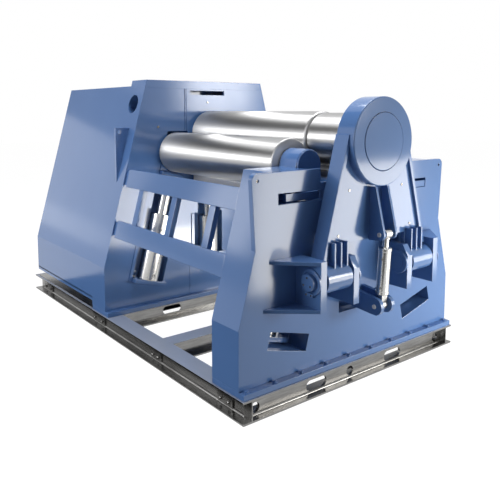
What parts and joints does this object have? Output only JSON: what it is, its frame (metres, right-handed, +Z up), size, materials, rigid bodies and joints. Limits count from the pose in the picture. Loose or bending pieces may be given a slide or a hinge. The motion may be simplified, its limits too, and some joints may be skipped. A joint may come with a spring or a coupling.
{
  "type": "four-roll plate bending machine",
  "caption": "Four-roll plate bending machine on an I-beam base, with a drive housing, hydraulic lower rolls and a tilting drop-end yoke for the top roll.",
  "frame": {"origin": "on the floor under the middle of the machine's overall box", "axes": "+X along the rolls towards the drop end, +Y to the rear, +Z up"},
  "size_m": [3.5867, 2, 2.01],
  "materials": {
    "blue_paint": "satin",
    "polished_steel": "polished",
    "chrome": "polished",
    "bare_beam": "mill finish"
  },
  "bodies": {
    "frame": {"base_side_beams": "bare_beam", "base_end_beams": "bare_beam", "base_cross_beams": "bare_beam", "drive_stand_foot": "blue_paint", "drop_stand_foot": "blue_paint", "drive_stand_front": "blue_paint", "drive_stand_rear": "blue_paint", "drive_stand_sill": "blue_paint", "drive_stand_horns": "blue_paint", "drive_stand_cheeks": "blue_paint", "drive_stand_cap": "blue_paint", "top_bearing_block": "blue_paint", "drive_housing": "blue_paint", "lifting_lugs": "blue_paint", "front_tie_bars": "blue_paint", "rear_tie_bars": "blue_paint", "front_tie_posts": "blue_paint", "rear_tie_posts": "blue_paint", "drop_stand_front": "blue_paint", "drop_stand_rear": "blue_paint", "drop_stand_sill": "blue_paint", "drop_stand_horns": "blue_paint", "drop_end_plate": "blue_paint", "front_hinge_bracket": "blue_paint", "rear_hinge_bracket": "blue_paint", "hinge_pins": "blue_paint", "cylinder_bracket": "blue_paint", "drive_lift_barrels": "chrome", "drive_lift_mounts": "blue_paint", "drop_lift_barrels": "chrome", "drop_lift_mounts": "blue_paint"},
    "top_roll": {"top_roll": "polished_steel"},
    "front_side_carriage": {"front_side_carriages": "blue_paint"},
    "front_side_roll": {"front_side_roll": "polished_steel"},
    "rear_side_carriage": {"rear_side_carriages": "blue_paint"},
    "rear_side_roll": {"rear_side_roll": "polished_steel"},
    "bottom_carriage": {"bottom_carriages": "blue_paint"},
    "bottom_roll": {"bottom_roll": "polished_steel"},
    "yoke": {"yoke_web": "blue_paint", "yoke_flanges": "blue_paint", "yoke_bearing_ring": "blue_paint", "yoke_bearing_cap": "blue_paint", "yoke_ribs": "blue_paint", "yoke_knuckles": "blue_paint"},
    "tilt_barrel": {"tilt_cylinder_barrel": "chrome"},
    "tilt_rod": {"tilt_cylinder_rod": "chrome"}
  },
  "joints": [
    {"name": "top_roll_spin", "type": "hinge", "parent": "frame", "child": "top_roll", "pos_m": [0, 0, 1.572], "axis": [1, 0, 0], "continuous": true},
    {"name": "bottom_lift", "type": "slide", "parent": "frame", "child": "bottom_carriage", "axis": [0, 0, 1], "range_m": [-0.08, 0]},
    {"name": "bottom_roll_spin", "type": "hinge", "parent": "bottom_carriage", "child": "bottom_roll", "pos_m": [0, 0, 1.186], "axis": [1, 0, 0], "continuous": true},
    {"name": "front_side_lift", "type": "slide", "parent": "frame", "child": "front_side_carriage", "axis": [0, 0.2554, 0.9668], "range_m": [-0.24, 0]},
    {"name": "front_side_roll_spin", "type": "hinge", "parent": "front_side_carriage", "child": "front_side_roll", "pos_m": [0, -0.33158, 1.418], "axis": [1, 0, 0], "continuous": true},
    {"name": "rear_side_lift", "type": "slide", "parent": "frame", "child": "rear_side_carriage", "axis": [0, -0.2554, 0.9668], "range_m": [-0.24, 0]},
    {"name": "rear_side_roll_spin", "type": "hinge", "parent": "rear_side_carriage", "child": "rear_side_roll", "pos_m": [0, 0.33158, 1.418], "axis": [1, 0, 0], "continuous": true},
    {"name": "yoke_tilt", "type": "hinge", "parent": "frame", "child": "yoke", "pos_m": [1.673, 0, 0.77], "axis": [0, 1, 0], "range_deg": [0, 30]},
    {"name": "tilt_cylinder_swing", "type": "hinge", "parent": "frame", "child": "tilt_barrel", "pos_m": [1.729, 0, 0.536], "axis": [0, 1, 0], "range_deg": [0, 15.09]},
    {"name": "tilt_cylinder_stroke", "type": "slide", "parent": "tilt_barrel", "child": "tilt_rod", "axis": [-0.0605, 0, -0.9982], "range_m": [0, 0.04943]}
  ],
  "couplings": [
    {"joint": "tilt_cylinder_swing", "follows": "yoke_tilt", "ratio": 0.5029},
    {"joint": "tilt_cylinder_stroke", "follows": "yoke_tilt", "m_per_rad": 0.0944}
  ]
}
